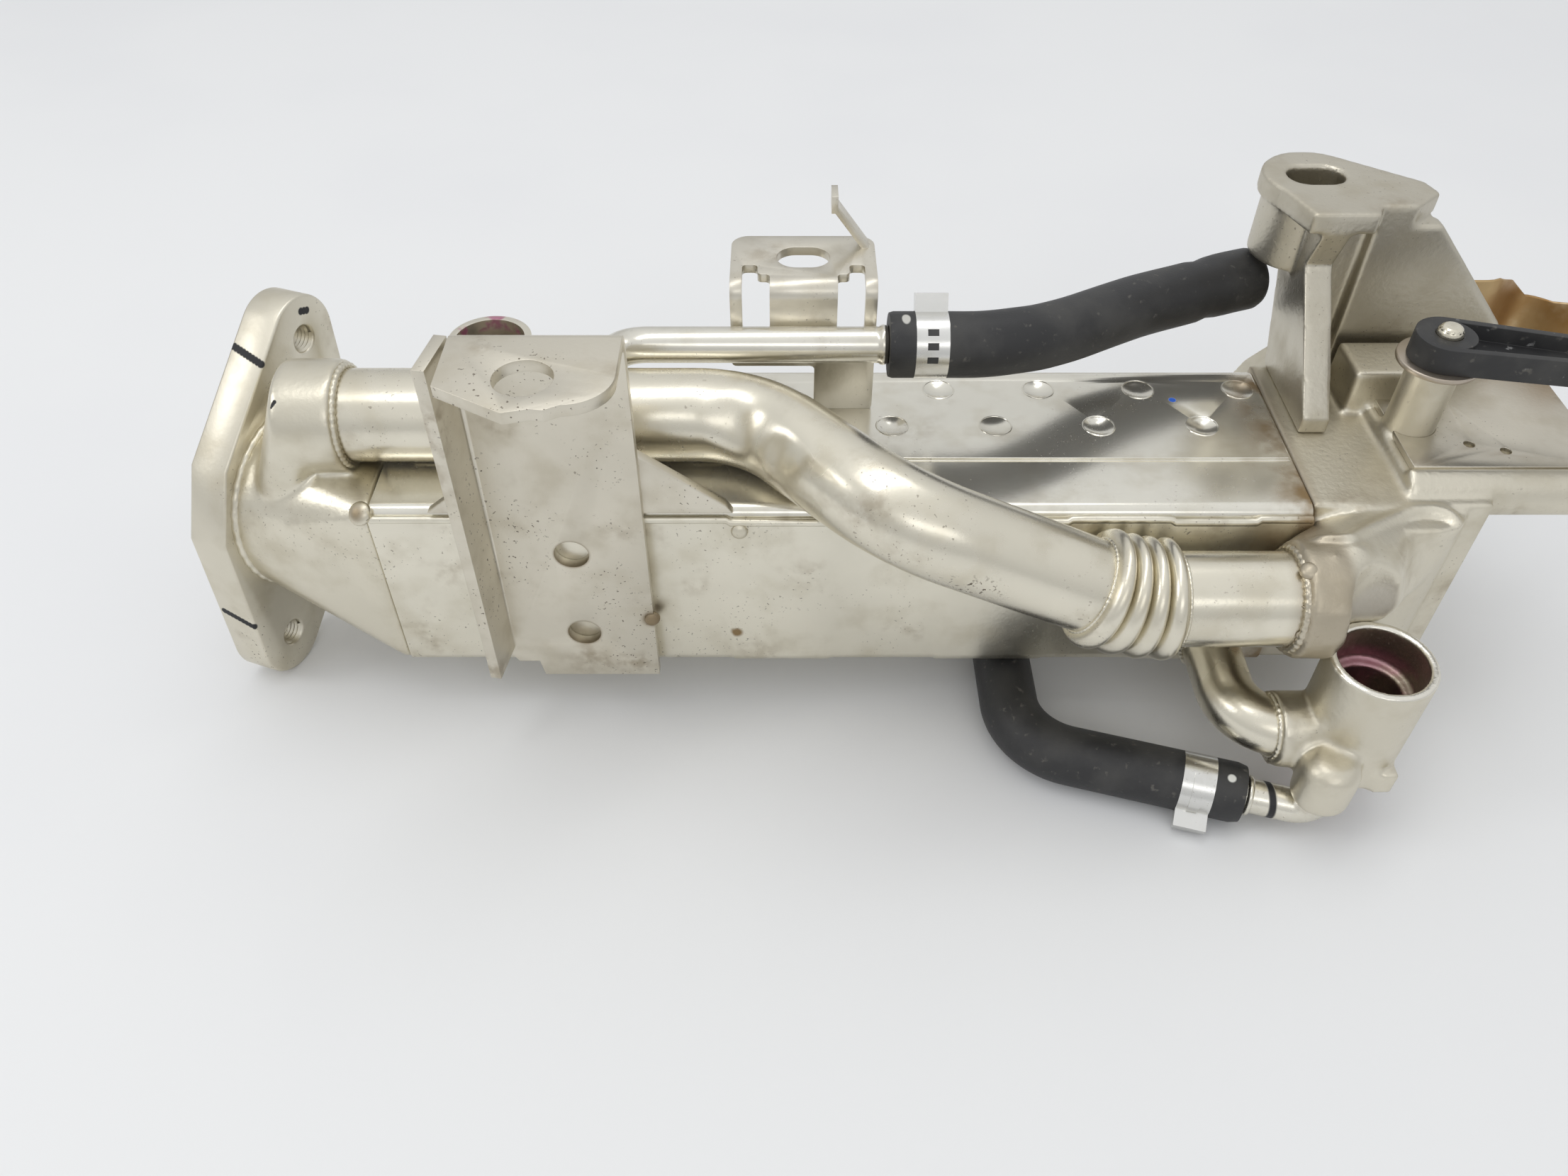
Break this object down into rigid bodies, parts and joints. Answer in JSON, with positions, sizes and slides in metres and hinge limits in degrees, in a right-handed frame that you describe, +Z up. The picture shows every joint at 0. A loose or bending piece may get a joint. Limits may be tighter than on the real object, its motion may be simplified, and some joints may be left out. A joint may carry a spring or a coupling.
{
  "type": "exhaust gas recirculation cooler",
  "caption": "Exhaust gas recirculation cooler: brazed sheet core between an inlet flange and a cast end housing, with a bypass pipe and bellows, a bypass flap, brackets and coolant hoses.",
  "frame": {"origin": "centre of the gas inlet port, in the plane of the inlet flange's mounting face", "axes": "+X along the core, from the inlet flange to the valve housing; +Z up, the side of the lid; +Y to the back, away from the bypass pipe's lower run"},
  "size_m": [0.4319, 0.1532, 0.1371],
  "materials": {
    "flange_steel": "nickel-brazed, satin, machined face",
    "brazed_sheet": "nickel-brazed stainless sheet, satin",
    "cast_steel": "nickel-brazed steel casting, sandy",
    "tube_steel": "nickel-brazed stainless tube, half bright",
    "inner_steel": "dull steel inside the gas path",
    "rubber": "matte black rubber",
    "clamp_steel": "bright spring steel",
    "bush_metal": "plain sintered metal",
    "shaft_steel": "bright turned steel",
    "disc_steel": "heat-dulled steel",
    "black_lever": "satin black",
    "tinted_sheet": "brown heat tint"
  },
  "bodies": {
    "cooler": {"inlet_flange": "flange_steel", "inlet_cone": "cast_steel", "core_tray": "brazed_sheet", "core_lid": "brazed_sheet", "inlet_header": "inner_steel", "outlet_header": "inner_steel", "gas_tubes": "inner_steel", "tube_baffles": "inner_steel", "bypass_pipe": "tube_steel", "bypass_bellows": "tube_steel", "bypass_tail": "tube_steel", "front_bracket": "brazed_sheet", "bracket_stiffener": "brazed_sheet", "rear_bracket": "brazed_sheet", "coolant_outlet_cup": "cast_steel", "coolant_pipe": "tube_steel", "coolant_hose": "rubber", "hose_clamp": "clamp_steel", "coolant_inlet_casting": "cast_steel", "coolant_elbow": "tube_steel", "spigot_pipe": "tube_steel", "lower_hose": "rubber", "lower_clamp": "clamp_steel", "lower_nipple": "tube_steel", "valve_housing": "cast_steel", "mount_tower": "cast_steel", "upper_bush": "bush_metal", "lower_bush": "bush_metal", "shaft_plug": "inner_steel", "actuator_plate": "tinted_sheet", "heat_shield": "tinted_sheet"},
    "valve": {"valve_shaft": "shaft_steel", "valve_flap": "inner_steel", "flap_screws": "inner_steel", "seal_disc": "disc_steel", "valve_lever": "black_lever"}
  },
  "joints": [
    {"name": "valve_swing", "type": "hinge", "parent": "cooler", "child": "valve", "pos_m": [0.338, -0.009, 0], "axis": [0, 0, 1], "range_deg": [-60, 0]}
  ]
}
